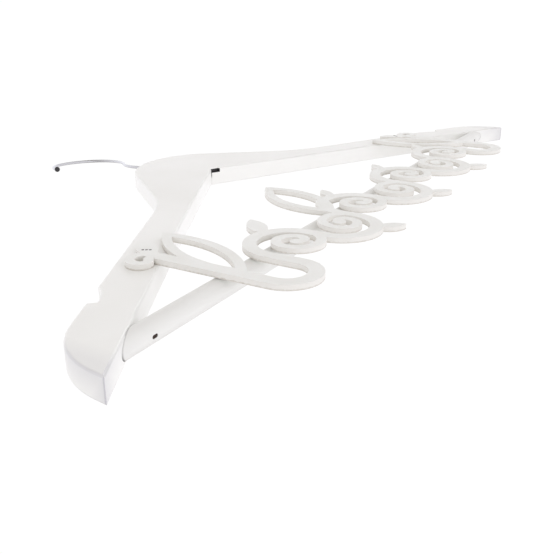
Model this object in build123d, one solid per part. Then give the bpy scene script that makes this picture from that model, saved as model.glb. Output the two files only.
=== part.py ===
from build123d import *
import math
import os

# Wooden clothes hanger with a scroll plate pinned across its front, modelled as it hangs.
# +Z is up, X runs along the span and the front faces -Y.
# Shapes are drawn from the crotch, where the arms meet under the neck, at mid-thickness.
# Outline points are (x, height above the crotch). Saved parts are moved so that the origin is
# the inside top of the hook, where the rail sits.

# Wooden body
half_span = 222.5
thickness = 10.0
neck_height = 45.6
tip_drop = 116.5
upper_roundover = 1.2
lower_roundover = 0.8

# Strap notch in each arm: its rims, the scoop and wall between them, and the open mouth above
notch_inner_rim = (171.6, -67.3)
notch_scoop = (176.6, -74.2)
notch_wall_foot = (183.8, -78.6)
notch_outer_rim = (186.8, -75.4)
notch_mouth = ((192.0, -61.0), (171.0, -61.0))

# Finger joint between the two halves, and the corner of it left open at the crotch
finger_start = 6.0
finger_reach = 7.0
finger_pitch = 9.0
seam_gap_length = 5.2
seam_gap_height = 1.1
seam_gap_end_height = -0.9
seam_gap_depth = 2.4

# Trouser bar, its dowels and its brads
bar_radius = 4.5
bar_height = -101.8
dowel_radius = 2.5
dowel_inner_x = 180.0
dowel_outer_x = 211.0
bar_brad_x = 187.0
bar_brad_radius = 0.6
bar_brad_head_length = 2.9
bar_brad_head_width = 1.5
bar_brad_head_thickness = 0.5
bar_brad_recess = 0.25
bar_brad_length = 8.0

# Hook wire, its ball and its bearing in the neck
wire_radius = 0.95
hook_radius = 20.9
hook_end_angle = 163.0
hook_centre_height = 99.6
stem_top_height = 51.5
hook_lean = 4.8
hook_turn = 3.5
lean_start_height = 48.0
lean_bend_radius = 25.0
ball_radius = 1.7
ball_socket_depth = 1.3
bore_radius = 1.03
counterbore_radius = 3.4
counterbore_height = 12.0
washer_thickness = 0.8
rivet_radius = 2.3
rivet_thickness = 1.3
rivet_play = 0.1
plug_height = 7.5

# Scroll plate: a running stem with curls and leaves, and a volute at each end
plate_thickness = 2.5
stem_width = 6.0
curl_width = 4.4
wave_bends = 7
wave_reach = 118.0
wave_middle = -113.0
wave_straight = 7.0
curl_shares = (0.63, 0.42, 0.2)
curl_end_turn = 150.0
bud_radius = 3.1
bend_leaf_place = 70.0
bend_leaf_angle = 48.0
leaf_plumpness = 0.21
small_leaf_length = 14.0
big_leaf_length = 21.0
tall_leaf = {"base": (-51.0, -106.0), "length": 56.0, "angle": 66.0, "plumpness": 0.21}
end_leaf = {"base": (-140.0, -113.0), "length": 63.0, "angle": 68.0, "plumpness": 0.17}
pad_leaf = {"base": (-141.5, -70.0), "length": 19.0, "angle": 56.0, "plumpness": 0.23}
open_leaf_rim = 4.4
leg_x = 141.0
leg_width = 6.4
leg_top = -68.5
leg_foot = -124.0
volute_radii = (5.4, 3.4)
volute_end_angle = 330.0
volute_width = 4.0

# The plate's brads
plate_brad_radius = 0.4
plate_brad_head_radius = 0.62
plate_brad_head_thickness = 0.35
plate_brad_length = 7.0
plate_brad_pitch = 1.5
plate_brad_centre = (137.6, -63.0)
plate_brad_slope = 60.0

# How far a cutting shape runs past the surface it cuts
cut_margin = 5.0

front_y = -thickness / 2
plate_front_y = front_y - plate_thickness
rivet_top = counterbore_height - washer_thickness - rivet_play
wave_radius = wave_reach / wave_bends

os.makedirs("parts", exist_ok=True)


def save(shape, name):
    export_step(Pos(*(-seat)) * shape, f"parts/{name}.step")


def slab(face, y_from, y_to):
    """Extrudes a face drawn as (x, height) between two depths."""
    upright = Plane(origin=(0, y_from, 0), x_dir=(1, 0, 0), z_dir=(0, -1, 0))
    return extrude(upright * face, amount=y_to - y_from, dir=(0, 1, 0))


def rod(radius, start, end):
    """A round rod between two points."""
    axis = Vector(*end) - Vector(*start)
    return Plane(origin=start, z_dir=axis) * extrude(Circle(radius), amount=axis.length)


def mirrored(shape):
    return mirror(shape, about=Plane.YZ)


# ---------------------------------------------------------------- wooden body

tip = (half_span, -tip_drop)
lobe_corner = (half_span - 3.2, -91.4)
waist_corner = (72.5, -18.5)
head_corner = (0.0, 71.6)
lobe_radius = 37.0
waist_radius = 79.0
head_radius = 43.6
arch_middle = (half_span / 2, -57.2)


def flipped(point):
    return (-point[0], point[1])


def underside():
    """The slightly arched lower edges of the two arms, meeting at the crotch."""
    right = ThreePointArc(tip, arch_middle, (0, 0))
    left = ThreePointArc((0, 0), flipped(arch_middle), flipped(tip))
    return [right, left]


def body_face():
    corners = [tip, lobe_corner, waist_corner]
    corners += [head_corner] + [flipped(point) for point in reversed(corners)]
    radii = [lobe_radius, waist_radius, head_radius, waist_radius, lobe_radius]
    upper = FilletPolyline(*corners, radius=radii)
    return make_face([*upper.edges(), *underside()])


def strap_notch():
    """The scoop in the shoulder that keeps a strap from sliding off the arm."""
    mouth = Polyline(notch_outer_rim, *notch_mouth, notch_inner_rim)
    wall = Line(notch_wall_foot, notch_outer_rim)
    scoop = ThreePointArc(notch_inner_rim, notch_scoop, notch_wall_foot)
    return slab(make_face([*mouth.edges(), wall, scoop]), -thickness, thickness)


def face_rims(solid):
    """The edges where the front and back faces meet the body's sides."""
    return [edge for edge in solid.edges() if abs(edge.center().Y) > thickness / 2 - 0.01]


def is_lower(edge):
    """True for an edge that bounds the underside of an arm."""
    return edge.length > half_span and edge.position_at(0.5).Z < -tip_drop / 3


def wooden_body():
    """The whole body with its softened faces: the part common to two partly rounded blanks."""
    blank = slab(body_face(), front_y, -front_y)
    rims = face_rims(blank)
    soft_above = fillet([edge for edge in rims if not is_lower(edge)], upper_roundover)
    soft_below = fillet([edge for edge in rims if is_lower(edge)], lower_roundover)
    return (soft_above & soft_below) - strap_notch() - mirrored(strap_notch())


def left_side():
    """Everything to the left of the finger joint, as a block that is cut to a zigzag."""
    levels = [finger_start + finger_pitch * step for step in range(4)]
    reach = finger_reach
    seam = [(0, levels[0]), (reach, levels[0]), (reach, levels[1])]
    seam += [(-reach, levels[1]), (-reach, levels[2]), (reach, levels[2])]
    seam += [(reach, levels[3]), (0, levels[3])]
    top, bottom, far = neck_height + cut_margin, -2 * tip_drop, -2 * half_span
    outside = [(0, top), (far, top), (far, bottom), (0, bottom)]
    return slab(make_face(Polyline(*seam, *outside, close=True)), -thickness, thickness)


def hook_bore():
    bore = rod(bore_radius, (0, 0, -cut_margin), (0, 0, neck_height + cut_margin))
    counterbore = rod(counterbore_radius, (0, 0, -cut_margin), (0, 0, counterbore_height))
    return bore + counterbore


def dowel(side):
    inner, outer = (side * x for x in (dowel_inner_x, dowel_outer_x))
    return rod(dowel_radius, (inner, 0, bar_height), (outer, 0, bar_height))


def seam_gap():
    """The corner at the crotch where the glued seam has stayed open."""
    corner = Polyline((0, -cut_margin), (seam_gap_length, -cut_margin),
                      (seam_gap_length, seam_gap_end_height), (0, seam_gap_height), close=True)
    return slab(make_face(corner), -thickness, front_y + seam_gap_depth)


def build_wood():
    body = wooden_body()
    drilled = body - hook_bore()
    left = drilled & left_side()
    right = drilled - left_side() - seam_gap()
    plug = rod(counterbore_radius, (0, 0, -cut_margin), (0, 0, plug_height)) & body
    return left - dowel(-1), right - dowel(1), plug - seam_gap()


# ---------------------------------------------------------------- trouser bar

def under_arms():
    """The open space between and below the arms, which the bar is cut to fit."""
    edges = [*underside(), Line(flipped(tip), tip)]
    return slab(make_face(edges), -thickness, thickness)


def brad_head_shape(x, low, high):
    """The outline of a brad's oblong head, long way along the bar, between two heights."""
    outline = Pos(x, 0, low) * SlotOverall(bar_brad_head_length, bar_brad_head_width)
    return extrude(outline, amount=high - low)


def bar_brad(x):
    """A brad driven up into the bar and its dowel, with its head a little below the surface."""
    bottom = bar_height - bar_radius + bar_brad_recess
    head_top = bottom + bar_brad_head_thickness
    shank = rod(bar_brad_radius, (x, 0, head_top), (x, 0, bottom + bar_brad_length))
    return brad_head_shape(x, bottom, head_top) + shank


def brad_recess(x):
    """The shallow hole over the brad's head, open at the bar's underside."""
    low = bar_height - bar_radius
    return brad_head_shape(x, low - cut_margin, low + bar_brad_recess)


def build_bar():
    bar = rod(bar_radius, (-half_span, 0, bar_height), (half_span, 0, bar_height)) & under_arms()
    brads = []
    dowels = []
    for side in (-1, 1):
        brad = bar_brad(side * bar_brad_x)
        bar = bar - dowel(side) - brad - brad_recess(side * bar_brad_x)
        dowels.append(dowel(side) - brad)
        brads.append(brad)
    return bar, Compound(children=dowels), Compound(children=brads)


# ---------------------------------------------------------------- hook

def s_bend(low, high):
    """Two equal arcs from a vertical start to a vertical end, and the points on the way."""
    (x_low, z_low), (x_high, z_high) = low, high
    rise, run = z_high - z_low, x_high - x_low
    turn = 2 * math.atan2(run, rise)
    radius = rise / (2 * math.sin(turn))
    middle = Vector((x_low + x_high) / 2, 0, (z_low + z_high) / 2)
    first = Vector(x_low + radius * (1 - math.cos(turn / 2)), 0,
                   z_low + radius * math.sin(turn / 2))
    start, end = Vector(x_low, 0, z_low), Vector(x_high, 0, z_high)
    return [ThreePointArc(start, first, middle), ThreePointArc(middle, 2 * middle - first, end)]


def hook_bow():
    """The part of the wire that bends in its own plane: out through an S, over and down."""
    out, centre = hook_radius, hook_centre_height
    over, last = (polar((0, centre), hook_radius, share * hook_end_angle) for share in (0.5, 1))
    return [*s_bend((0, stem_top_height), (out, centre)),
            ThreePointArc((out, 0, centre), (over[0], 0, over[1]), (last[0], 0, last[1]))]


def leaned(shape):
    """Turns the hook a little about its stem, then leans it back from the bend in the stem."""
    turned = shape.rotate(Axis.Z, hook_turn)
    bend_centre = (0, lean_bend_radius, lean_start_height)
    return turned.rotate(Axis(bend_centre, (1, 0, 0)), -hook_lean)


def hook_path():
    lean = math.radians(hook_lean)
    bend_top = Vector(0, lean_bend_radius * (1 - math.cos(lean)),
                      lean_start_height + lean_bend_radius * math.sin(lean))
    bend_middle = Vector(0, lean_bend_radius * (1 - math.cos(lean / 2)),
                         lean_start_height + lean_bend_radius * math.sin(lean / 2))
    bend_start = Vector(0, 0, lean_start_height)
    upper = [leaned(edge.edge()) for edge in
             (Line((0, 0, lean_start_height), (0, 0, stem_top_height)), *hook_bow())]
    lower = [Line((0, 0, rivet_top), bend_start), ThreePointArc(bend_start, bend_middle, bend_top)]
    return Wire([*(edge.edge() for edge in lower), *upper])


def hook_seat():
    """The inside top of the hook, where the rail sits."""
    inside_top = hook_centre_height + hook_radius - wire_radius
    return leaned(Edge.make_line((0, 0, stem_top_height), (0, 0, inside_top))) @ 1


def build_hook():
    path = hook_path()
    wire = sweep(Plane(path @ 0, z_dir=path % 0) * Circle(wire_radius), path=path)
    rivet = rod(rivet_radius, (0, 0, rivet_top - rivet_thickness), (0, 0, rivet_top))
    end, direction = path @ 1, path % 1
    ball_centre = end + direction * (ball_radius - ball_socket_depth)
    ball = Pos(*ball_centre) * Sphere(ball_radius)
    return wire + rivet, ball - wire


def build_washer():
    low = counterbore_height - washer_thickness
    disc = rod(counterbore_radius, (0, 0, low), (0, 0, counterbore_height))
    return disc - rod(bore_radius, (0, 0, low - cut_margin), (0, 0, low + cut_margin))


# ---------------------------------------------------------------- scroll plate

def stroke(edges, width):
    """A strip of even width with round ends along edges that run on from each other."""
    path = Wire([edge.edge() for edge in edges])
    shape = trace(path, line_width=width)
    for end in (path @ 0, path @ 1):
        shape += Pos(end.X, end.Y) * Circle(width / 2)
    return shape


def polar(centre, radius, degrees):
    angle = math.radians(degrees)
    return (centre[0] + radius * math.cos(angle), centre[1] + radius * math.sin(angle))


def arc(centre, radius, start, end):
    """An arc from one angle to another, in degrees, about a centre."""
    angles = (start, (start + end) / 2, end)
    return ThreePointArc(*(polar(centre, radius, angle) for angle in angles))


def leaf(base, length, angle, plumpness=leaf_plumpness):
    """A pointed almond leaf that grows from its base at an angle in degrees."""
    point = polar(base, length, angle)
    middle = polar(base, length / 2, angle)
    left, right = (polar(middle, length * plumpness, angle + turn) for turn in (90, -90))
    return make_face([ThreePointArc(base, left, point), ThreePointArc(point, right, base)])


def open_leaf(**shape):
    """A leaf that is cut out inside, so that only a rim is left."""
    outline = leaf(**shape)
    return outline - offset(outline, amount=-open_leaf_rim, kind=Kind.INTERSECTION)


def bend_place(bend):
    """Which way a bend of the stem turns, and the centre of its half circle."""
    side = 1 if bend % 2 == 0 else -1
    crest = -wave_reach + wave_radius * (2 * bend + 1)
    return side, (crest, wave_middle + side * wave_straight / 2)


def running_stem():
    """Half circles above and below in turn, joined by short upright runs."""
    edges = []
    for bend in range(wave_bends):
        side, centre = bend_place(bend)
        foot = (centre[0] - wave_radius, centre[1] - side * wave_straight)
        edges.append(Line(foot, (foot[0], centre[1])))
        edges.append(arc(centre, wave_radius, 180, 180 - side * 180))
    return stroke(edges, stem_width)


def curl(bend):
    """The spiral that leaves the stem at the end of a bend and winds up inside it."""
    side, centre = bend_place(bend)
    outer, middle, inner = (wave_radius * share for share in curl_shares)
    first = (centre[0] + wave_radius - outer, centre[1])
    second = (first[0] - outer + middle, centre[1])
    third = (second[0] + middle - inner, centre[1])
    edges = [arc(first, outer, 0, -side * 180),
             arc(second, middle, side * 180, 0),
             arc(third, inner, 0, -side * curl_end_turn)]
    bud = Pos(*polar(third, inner, -side * curl_end_turn)) * Circle(bud_radius)
    return stroke(edges, curl_width) + bud


def bend_leaf(bend):
    """A leaf on the outside of each bend."""
    side, centre = bend_place(bend)
    length = big_leaf_length if bend == 0 else small_leaf_length
    base = polar(centre, wave_radius, side * bend_leaf_place)
    return leaf(base, length, side * bend_leaf_angle)


def plate_end():
    """The left end of the plate, which rises to the arm and is pinned there."""
    foot_radius = (leg_x - wave_reach) / 2
    outer, inner = volute_radii
    first = (-leg_x - outer, leg_top)
    second = (first[0] - outer + inner, leg_top)
    leg = stroke([Line((-wave_reach, wave_middle), (-wave_reach, leg_foot)),
                  arc((-leg_x + foot_radius, leg_foot), foot_radius, 0, -180),
                  Line((-leg_x, leg_foot), (-leg_x, leg_top))], leg_width)
    turns = [arc(first, outer, 0, 180), arc(second, inner, 180, volute_end_angle)]
    volute = stroke(turns, volute_width)
    return leg + volute + leaf(**pad_leaf) + open_leaf(**end_leaf)


def plate_face():
    end = plate_end()
    face = running_stem() + end + mirror(end, about=Plane.YZ) + open_leaf(**tall_leaf)
    for bend in range(wave_bends):
        face += curl(bend) + bend_leaf(bend)
    return face


def plate_brad_places():
    """Three fine brads in a short row on each arm."""
    x, height = plate_brad_centre
    for side in (-1, 1):
        for step in (-1, 0, 1):
            along = step * plate_brad_pitch
            angle = math.radians(plate_brad_slope)
            yield (side * (x - along * math.cos(angle)), height - along * math.sin(angle))


def plate_brad(x, height):
    head_y = plate_front_y + plate_brad_head_thickness
    head = rod(plate_brad_head_radius, (x, plate_front_y, height), (x, head_y, height))
    shank_end = plate_front_y + plate_brad_length
    return head + rod(plate_brad_radius, (x, head_y, height), (x, shank_end, height))


def build_plate():
    plate = slab(plate_face(), plate_front_y, front_y)
    brads = [plate_brad(*place) for place in plate_brad_places()]
    for brad in brads:
        plate = plate - brad
    return plate, brads


# ---------------------------------------------------------------- output

seat = hook_seat()


def main():
    left, right, plug = build_wood()
    plate, plate_brads = build_plate()
    for brad in plate_brads:
        left = left - brad
        right = right - brad
    bar, dowels, bar_brads = build_bar()
    hook, ball = build_hook()
    save(left, "left_arm")
    save(right, "right_arm")
    save(plug, "neck_plug")
    save(bar, "trouser_bar")
    save(dowels, "bar_dowels")
    save(bar_brads, "bar_brads")
    save(hook, "hook")
    save(ball, "hook_ball")
    save(build_washer(), "hook_washer")
    save(plate, "scroll_plate")
    save(Compound(children=plate_brads), "plate_brads")


main()
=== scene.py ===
import math

import bpy
from mathutils import Matrix, Vector


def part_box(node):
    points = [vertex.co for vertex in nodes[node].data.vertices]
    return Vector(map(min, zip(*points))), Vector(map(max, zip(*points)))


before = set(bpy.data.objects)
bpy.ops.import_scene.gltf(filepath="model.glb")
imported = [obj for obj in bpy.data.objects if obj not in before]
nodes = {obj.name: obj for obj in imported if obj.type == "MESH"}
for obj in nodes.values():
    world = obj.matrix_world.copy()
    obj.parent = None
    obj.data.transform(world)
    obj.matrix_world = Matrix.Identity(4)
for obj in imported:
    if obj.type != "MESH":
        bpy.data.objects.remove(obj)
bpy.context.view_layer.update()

MM = 0.001

# The wooden body's faces and tips, and the crotch, where its arms meet under the neck
arm_low, arm_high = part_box("right_arm")
plate_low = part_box("scroll_plate")[0]
FRONT_Y, BACK_Y = arm_low.y, arm_high.y
MIDDLE_Y = (FRONT_Y + BACK_Y) / 2
HALF_SPAN = arm_high.x
TIP_Z = arm_low.z
TIP_DROP = 116.5 * MM
CROTCH_Z = TIP_Z + TIP_DROP
ARCH_RISE = 1.05 * MM

# Camera: where it stands, and its axes, in the shared frame
CAMERA_PLACE = Vector((-0.35773, -0.10892 + MIDDLE_Y, -0.25098 + CROTCH_Z))
CAMERA_RIGHT = Vector((0.4978, 0.0020, -0.8673))
CAMERA_FORWARD = Vector((0.8052, 0.3706, 0.4630))
CAMERA_LENS = 48.06
SENSOR_WIDTH = 36
CLIP_START, CLIP_END = 0.01, 50

# Colours are linear
PAINT_WHITE = (0.88, 0.877, 0.85, 1)
PAINT_WARM = (0.85, 0.845, 0.812, 1)
# The bar's tones are the arms' paint made darker: painted shade for the shadow the arms and plate
# cast on it
BAR_SHADED_WHITE = (0.775, 0.772, 0.745, 1)
BAR_SHADED_WARM = (0.75, 0.745, 0.715, 1)
PLATE_WHITE = (0.848, 0.85, 0.822, 1)
PLATE_WARM = (0.82, 0.818, 0.783, 1)
CUT_PALE = (0.79, 0.775, 0.735, 1)
CUT_DARKER = (0.56, 0.52, 0.46, 1)
# Near-black of open joints, also used as painted shadow in the crotch gap and at the bar's joints
JOINT_DARK_AND_SHADOW = (0.012, 0.01, 0.012, 1)
BARE_BEECH = (0.5, 0.34, 0.2, 1)
BEECH_FLECK = (0.36, 0.22, 0.12, 1)
# Lavender grey of the painted shade round the arms' outer ends
PAINTED_END_SHADE_COLOUR = (0.53, 0.52, 0.55, 1)

WIRE_GREY = (0.55, 0.55, 0.57, 1)
WASHER_GREY = (0.5, 0.5, 0.5, 1)
BLUED_STEEL = (0.05, 0.035, 0.028, 1)
BALL_BLACK = (0.02, 0.018, 0.02, 1)
FLOOR_PALE = (0.93, 0.93, 0.94, 1)

# How finely the grain, brush marks and mottle of the paint and the flecks of bare wood repeat
GRAIN_SCALE = (14, 420, 420)
BRUSH_SCALE = (30, 1500, 1500)
MOTTLE_SCALE = 26
FLECK_SCALE = (60, 900, 900)

# The open corner of the joint at the crotch, painted near-black as the shadow inside it, and the
# hairline that runs on behind it
GAP_LENGTH = 5.2 * MM
GAP_DEPTH = 2.4 * MM
GAP_TOP = 1.3 * MM
HAIRLINE_DEPTH = 6 * MM
MASK_FADE = 0.1 * MM

# The painted shade round the arms' outer ends
END_LENGTH = 30 * MM
RIM_LENGTH = 14 * MM
LOWEST_HEIGHT = 8 * MM

# How far the paint rounds the plate's cut edges, the steps and least angle of that rounding,
# and how close two points of the mesh must lie to be joined before it
PLATE_SOFTENING = 0.2 * MM
SOFTENING_STEPS = 2
SHARP_DEGREES = 40
WELD_DISTANCE = 0.001 * MM

# Strength and tint of the light from each way: through the faces, along the span, up and down
FACE_LIGHT = 0.28
LEFT_LIGHT = 1.02
RIGHT_LIGHT = 1.25
ABOVE_LIGHT = 1.35
BELOW_LIGHT = 1.6
FLOOR_GLOW = 0.17
FACE_TINT = (1.06, 1.0, 0.9, 1)
SIDE_TINT = (0.985, 0.985, 1.03, 1)
BACKDROP = 1.02
FLOOR_REACH = 4.0
FLOOR_Z = -0.6
KEY_PLACE = (-1.2, -1.6, 0.9)
KEY_TARGET = (0, 0, -0.15)
KEY_SIZE = 1.6
KEY_WATTS = 0.5
PLAIN_WHITE = (1, 1, 1, 1)


# ---------------------------------------------------------------- node helpers

class Graph:
    """The node tree of a material or world, with one-line calls for the nodes used here."""

    def __init__(self, owner):
        owner.use_nodes = True
        self.owner = owner
        self.tree = owner.node_tree
        self.shader = self.tree.nodes.get("Principled BSDF")

    def add(self, kind, **settings):
        node = self.tree.nodes.new(kind)
        for key, value in settings.items():
            setattr(node, key, value)
        return node

    def join(self, source, target):
        self.tree.links.new(source, target)

    def place(self):
        return self.add("ShaderNodeTexCoord").outputs["Object"]

    def scaled(self, vector, scale, turn=(0, 0, 0)):
        node = self.add("ShaderNodeMapping")
        node.inputs["Scale"].default_value = scale
        node.inputs["Rotation"].default_value = turn
        self.join(vector, node.inputs["Vector"])
        return node.outputs["Vector"]

    def noise(self, vector, scale, detail=4, roughness=0.5):
        node = self.add("ShaderNodeTexNoise")
        node.inputs["Scale"].default_value = scale
        node.inputs["Detail"].default_value = detail
        node.inputs["Roughness"].default_value = roughness
        self.join(vector, node.inputs["Vector"])
        return node.outputs["Fac"]

    def spread(self, value, low, high, to_low=0, to_high=1):
        node = self.add("ShaderNodeMapRange")
        for name, number in zip(("From Min", "From Max", "To Min", "To Max"),
                                (low, high, to_low, to_high)):
            node.inputs[name].default_value = number
        self.join(value, node.inputs["Value"])
        return node.outputs["Result"]

    def maths(self, operation, first, second=None):
        node = self.add("ShaderNodeMath", operation=operation)
        for socket, value in zip(node.inputs, (first, second)):
            if isinstance(value, (int, float)):
                socket.default_value = value
            elif value is not None:
                self.join(value, socket)
        return node.outputs["Value"]

    def mix(self, share, first, second):
        node = self.add("ShaderNodeMix", data_type="RGBA")
        self.join(share, node.inputs["Factor"])
        for socket, value in ((node.inputs[6], first), (node.inputs[7], second)):
            if isinstance(value, tuple):
                socket.default_value = value
            else:
                self.join(value, socket)
        return node.outputs[2]

    def parts(self, vector):
        """The x, y and z of a vector."""
        node = self.add("ShaderNodeSeparateXYZ")
        self.join(vector, node.inputs["Vector"])
        return [node.outputs[axis] for axis in "XYZ"]

    def within(self, value, low, high, fade):
        """One between low and high, and nought outside, with soft ends."""
        return self.maths("MULTIPLY", self.spread(value, low - fade, low),
                          self.spread(value, high, high + fade, 1, 0))

    def bump(self, height, strength, distance, normal=None):
        node = self.add("ShaderNodeBump")
        node.inputs["Strength"].default_value = strength
        node.inputs["Distance"].default_value = distance
        self.join(height, node.inputs["Height"])
        if normal is not None:
            self.join(normal, node.inputs["Normal"])
        return node.outputs["Normal"]

    def set(self, **values):
        for name, value in values.items():
            self.shader.inputs[name.replace("_", " ")].default_value = value

    def drive(self, name, source):
        self.join(source, self.shader.inputs[name])


# ---------------------------------------------------------------- materials

def painted_wood(name, slope, shades, joints_and_shadows=()):
    """Satin white paint over smooth wood, whose grain runs along the piece and barely shows.

    shades are the paint's lighter and darker tone, and the last argument holds functions that
    give how dark an open joint is at each point of the piece, with painted shadow in some of
    them.
    The paint also takes the painted shade round the arms' outer ends.
    """
    graph = Graph(bpy.data.materials.new(name))
    place = graph.place()
    along = graph.scaled(place, (1, 1, 1), (0, slope, 0))
    grain = graph.noise(graph.scaled(along, GRAIN_SCALE), 1, 5, 0.6)
    mottle = graph.noise(place, MOTTLE_SCALE, 3)
    brush = graph.noise(graph.scaled(along, BRUSH_SCALE), 1, 2)
    tone = graph.maths("ADD", graph.spread(grain, 0.35, 0.75, 0, 0.2),
                       graph.spread(mottle, 0.4, 0.7, 0, 0.5))
    colour = graph.mix(tone, *shades)
    # Painted shade round the arms' outer ends, and a little on the bar's ends
    colour = graph.mix(painted_end_shade(graph), colour, PAINTED_END_SHADE_COLOUR)
    # Dark joints, with painted shadow in the crotch gap and where the bar meets the arms
    for dark_mark in joints_and_shadows:
        colour = graph.mix(dark_mark(graph), colour, JOINT_DARK_AND_SHADOW)
    graph.drive("Base Color", colour)
    graph.drive("Roughness", graph.spread(mottle, 0.3, 0.7, 0.36, 0.5))
    brushed = graph.bump(brush, 0.12, 0.00004)
    graph.drive("Normal", graph.bump(grain, 0.15, 0.0001, brushed))
    graph.set(IOR=1.46, Coat_Weight=0.15, Coat_Roughness=0.25)
    return graph.owner


def crotch_gap_painted_shadow(graph):
    """The open corner of the finger joint at the crotch, seen from the front, painted near-black
    as the shadow inside it.
    """
    x, y, z = graph.parts(graph.place())
    beside = graph.within(x, -0.2 * MM, GAP_LENGTH, MASK_FADE)
    level = graph.within(z, CROTCH_Z - GAP_LENGTH, CROTCH_Z + GAP_TOP, MASK_FADE)
    depth = graph.within(y, FRONT_Y + 0.45 * MM, FRONT_Y + GAP_DEPTH, MASK_FADE)
    return graph.maths("MULTIPLY", graph.maths("MULTIPLY", beside, level), depth)


def crotch_line(graph):
    """The hairline of the joint under the neck, which fades towards the back."""
    x, y, z = graph.parts(graph.place())
    beside = graph.within(x, -0.5 * MM, 0.25 * MM, 0.15 * MM)
    level = graph.within(z, CROTCH_Z - 1 * MM, CROTCH_Z + 0.4 * MM, 0.2 * MM)
    fade_start = FRONT_Y + 0.7 * HAIRLINE_DEPTH
    behind = graph.spread(y, fade_start, FRONT_Y + HAIRLINE_DEPTH, 0.95, 0.12)
    depth = graph.maths("MULTIPLY", behind, graph.spread(y, FRONT_Y, FRONT_Y + 0.3 * MM))
    return graph.maths("MULTIPLY", graph.maths("MULTIPLY", beside, level), depth)


def painted_end_shade(graph):
    """The soft painted shade at each arm's outer end, strongest in its front rim and lowest edge.

    The ends of the bar lie within its reach too, and take a little of it.
    """
    x, y, z = graph.parts(graph.place())
    reach = graph.maths("ABSOLUTE", x)
    normal = graph.add("ShaderNodeTexCoord").outputs["Normal"]
    through = graph.maths("ABSOLUTE", graph.parts(normal)[1])
    end = graph.spread(reach, HALF_SPAN - END_LENGTH, HALF_SPAN - 4 * MM)
    sideways = graph.spread(through, 0.15, 0.6, 1, 0)
    nearer = graph.spread(y, FRONT_Y, BACK_Y, 0.45, 0)
    lowest = graph.spread(z, TIP_Z, TIP_Z + LOWEST_HEIGHT, 0.5, 0)
    strength = graph.maths("MAXIMUM", nearer, lowest)
    side = graph.maths("MULTIPLY", graph.maths("MULTIPLY", end, sideways), strength)
    outer = graph.spread(reach, HALF_SPAN - RIM_LENGTH, HALF_SPAN - 6 * MM, 0, 0.55)
    rim = graph.maths("MULTIPLY", graph.within(through, 0.35, 0.85, 0.25), outer)
    outermost = graph.spread(reach, HALF_SPAN - 1 * MM, HALF_SPAN - 0.4 * MM)
    corner = graph.maths("MULTIPLY", outermost,
                         graph.spread(z, TIP_Z + 0.5 * MM, TIP_Z + 1.1 * MM, 0.9, 0))
    return graph.maths("MAXIMUM", corner, graph.maths("MAXIMUM", rim, side))


def bar_joint_and_contact_shadow(graph):
    """The dark line where each end of the bar meets the arm: a dark joint with painted contact
    shadow, strongest towards the back.
    """
    x, y, z = graph.parts(graph.place())
    share = graph.maths("DIVIDE", graph.maths("ABSOLUTE", x), HALF_SPAN)
    rest = graph.maths("SUBTRACT", 1, share)
    arch = graph.maths("MULTIPLY", graph.maths("MULTIPLY", share, rest), 4 * ARCH_RISE)
    underside = graph.maths("SUBTRACT", arch, graph.maths("MULTIPLY", share, TIP_DROP))
    gap = graph.maths("SUBTRACT", graph.maths("ADD", underside, CROTCH_Z), z)
    line = graph.spread(gap, 0.25 * MM, 0.55 * MM, 1, 0)
    low = graph.spread(y, MIDDLE_Y - 1 * MM, MIDDLE_Y + 2.5 * MM, 0.25, 0.9)
    return graph.maths("MULTIPLY", line, low)


def painted_plate():
    """Cream paint on a thin sawn board, a little darker towards the back of its cut edges."""
    graph = Graph(bpy.data.materials.new("plate_paint"))
    place = graph.place()
    depth = graph.parts(place)[1]
    normal = graph.add("ShaderNodeTexCoord").outputs["Normal"]
    facing = graph.maths("ABSOLUTE", graph.parts(normal)[1])
    mottle = graph.noise(place, 60, 3)
    specks = graph.noise(place, 900, 2)
    paint = graph.mix(graph.spread(mottle, 0.35, 0.7), PLATE_WHITE, PLATE_WARM)
    uneven = graph.maths("ADD", depth, graph.spread(specks, 0.3, 0.7, -0.25 * MM, 0.25 * MM))
    # The cut edges darken towards the back
    towards_back = graph.spread(uneven, plate_low.y + 1.7 * MM, plate_low.y + 2.6 * MM)
    edge = graph.mix(towards_back, CUT_PALE, CUT_DARKER)
    graph.drive("Base Color", graph.mix(graph.spread(facing, 0.25, 0.6), edge, paint))
    graph.drive("Roughness", graph.spread(mottle, 0.3, 0.7, 0.42, 0.55))
    graph.drive("Normal", graph.bump(specks, 0.12, 0.00005))
    return graph.owner


def metal(name, colour, rough_low, rough_high):
    """Metal with fine marks and slightly uneven polish."""
    graph = Graph(bpy.data.materials.new(name))
    marks = graph.noise(graph.place(), 400, 3)
    graph.set(Base_Color=colour, Metallic=1.0)
    graph.drive("Roughness", graph.spread(marks, 0.3, 0.7, rough_low, rough_high))
    graph.drive("Normal", graph.bump(marks, 0.1, 0.00002))
    return graph.owner


def ball_plastic():
    graph = Graph(bpy.data.materials.new("ball_plastic"))
    marks = graph.noise(graph.place(), 700, 3)
    graph.set(Base_Color=BALL_BLACK)
    graph.drive("Roughness", graph.spread(marks, 0.3, 0.7, 0.25, 0.4))
    return graph.owner


def bare_wood():
    graph = Graph(bpy.data.materials.new("bare_beech"))
    flecks = graph.noise(graph.scaled(graph.place(), FLECK_SCALE), 1, 4)
    graph.drive("Base Color", graph.mix(graph.spread(flecks, 0.35, 0.7), BARE_BEECH, BEECH_FLECK))
    graph.set(Roughness=0.7)
    return graph.owner


def coat(names, material):
    for name in names:
        mesh = nodes[name].data
        mesh.materials.clear()
        mesh.materials.append(material)


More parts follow.
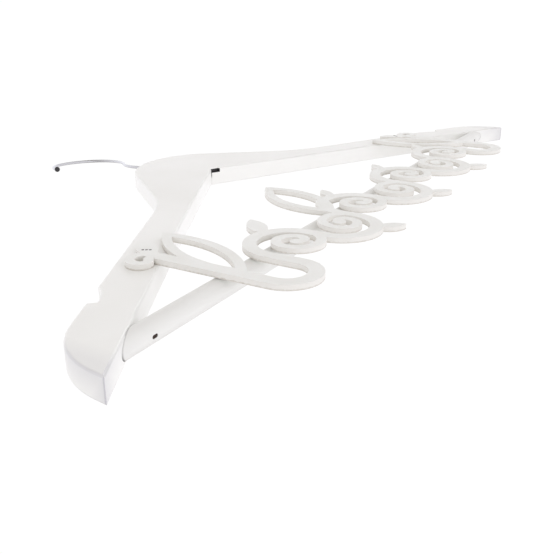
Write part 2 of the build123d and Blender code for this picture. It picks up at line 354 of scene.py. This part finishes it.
def apply_materials():
    slope = math.atan2(TIP_DROP, HALF_SPAN)
    neck_joints_and_shadow = (crotch_gap_painted_shadow, crotch_line)
    # The bar takes the darker tones, a painted shade
    arm_paint, bar_shaded_paint = (PAINT_WHITE, PAINT_WARM), (BAR_SHADED_WHITE, BAR_SHADED_WARM)
    coat(["left_arm"], painted_wood("left_paint", -slope, arm_paint, neck_joints_and_shadow))
    coat(["right_arm", "neck_plug"], painted_wood("right_paint", slope, arm_paint, neck_joints_and_shadow))
    coat(["trouser_bar"], painted_wood("bar_shaded_paint", 0, bar_shaded_paint, (bar_joint_and_contact_shadow,)))
    coat(["scroll_plate"], painted_plate())
    coat(["bar_dowels"], bare_wood())
    coat(["hook"], metal("plated_wire", WIRE_GREY, 0.18, 0.32))
    coat(["hook_washer"], metal("washer_steel", WASHER_GREY, 0.3, 0.45))
    coat(["bar_brads", "plate_brads"], metal("blued_steel", BLUED_STEEL, 0.35, 0.55))
    coat(["hook_ball"], ball_plastic())


# ---------------------------------------------------------------- stage

def white_surround():
    """A plain white surround that gives least light from the front and the back."""
    world = bpy.data.worlds.new("surround")
    bpy.context.scene.world = world
    graph = Graph(world)
    x, y, z = graph.parts(graph.add("ShaderNodeTexCoord").outputs["Generated"])
    span, face, rise = (graph.maths("MULTIPLY", part, part) for part in (x, y, z))
    upright = graph.maths("MULTIPLY", rise, graph.spread(z, -0.4, 0.4, BELOW_LIGHT, ABOVE_LIGHT))
    sides = graph.maths("MULTIPLY", span, graph.spread(x, -0.4, 0.4, LEFT_LIGHT, RIGHT_LIGHT))
    level = graph.maths("ADD", sides,
                        graph.maths("MULTIPLY", face, FACE_LIGHT))
    seen = graph.add("ShaderNodeLightPath").outputs["Is Camera Ray"]
    unseen = graph.maths("SUBTRACT", 1, seen)
    lit = graph.maths("MULTIPLY", graph.maths("ADD", upright, level), unseen)
    background = graph.tree.nodes["Background"]
    graph.join(graph.maths("ADD", lit, graph.maths("MULTIPLY", seen, BACKDROP)),
               background.inputs["Strength"])
    tint = graph.mix(face, SIDE_TINT, FACE_TINT)
    graph.join(graph.mix(seen, tint, PLAIN_WHITE), background.inputs["Color"])


def soft_light(name, place, target, size, watts):
    light = bpy.data.lights.new(name, "AREA")
    light.size = size
    light.energy = watts
    lamp = bpy.data.objects.new(name, light)
    lamp.location = place
    lamp.rotation_mode = "QUATERNION"
    lamp.rotation_quaternion = (Vector(target) - Vector(place)).to_track_quat("-Z", "Y")
    bpy.context.scene.collection.objects.link(lamp)


def build_floor():
    mesh = bpy.data.meshes.new("floor")
    reach, level = FLOOR_REACH, FLOOR_Z
    corners = [(x * reach, y * reach, level) for x, y in ((-1, -1), (1, -1), (1, 1), (-1, 1))]
    mesh.from_pydata(corners, [], [(0, 1, 2, 3)])
    floor = bpy.data.objects.new("floor", mesh)
    bpy.context.scene.collection.objects.link(floor)
    graph = Graph(bpy.data.materials.new("floor_white"))
    graph.set(Base_Color=FLOOR_PALE, Roughness=0.9)
    graph.set(Emission_Color=PLAIN_WHITE, Emission_Strength=FLOOR_GLOW)
    mesh.materials.append(graph.owner)


def build_camera():
    camera = bpy.data.objects.new("camera", bpy.data.cameras.new("camera"))
    bpy.context.scene.collection.objects.link(camera)
    forward = CAMERA_FORWARD.normalized()
    right = (CAMERA_RIGHT - CAMERA_RIGHT.dot(forward) * forward).normalized()
    up = right.cross(forward)
    axes = Matrix((right, up, -forward)).transposed()
    camera.matrix_world = Matrix.Translation(CAMERA_PLACE) @ axes.to_4x4()
    camera.data.lens = CAMERA_LENS
    camera.data.sensor_width = SENSOR_WIDTH
    camera.data.clip_start = CLIP_START
    camera.data.clip_end = CLIP_END
    bpy.context.scene.camera = camera


def soften_edges(name, width, segments):
    """Joins the faces of a CAD node along its edges, and rounds the crisp ones as paint does."""
    joined = nodes[name].modifiers.new("joined_faces", "WELD")
    joined.merge_threshold = WELD_DISTANCE
    bevel = nodes[name].modifiers.new("paint_radius", "BEVEL")
    bevel.width = width
    bevel.segments = segments
    bevel.limit_method = "ANGLE"
    bevel.angle_limit = math.radians(SHARP_DEGREES)
    bevel.harden_normals = True


apply_materials()
soften_edges("scroll_plate", PLATE_SOFTENING, SOFTENING_STEPS)
white_surround()
build_floor()
soft_light("key", KEY_PLACE, KEY_TARGET, KEY_SIZE, KEY_WATTS)
build_camera()
bpy.context.scene.view_settings.view_transform = "Standard"
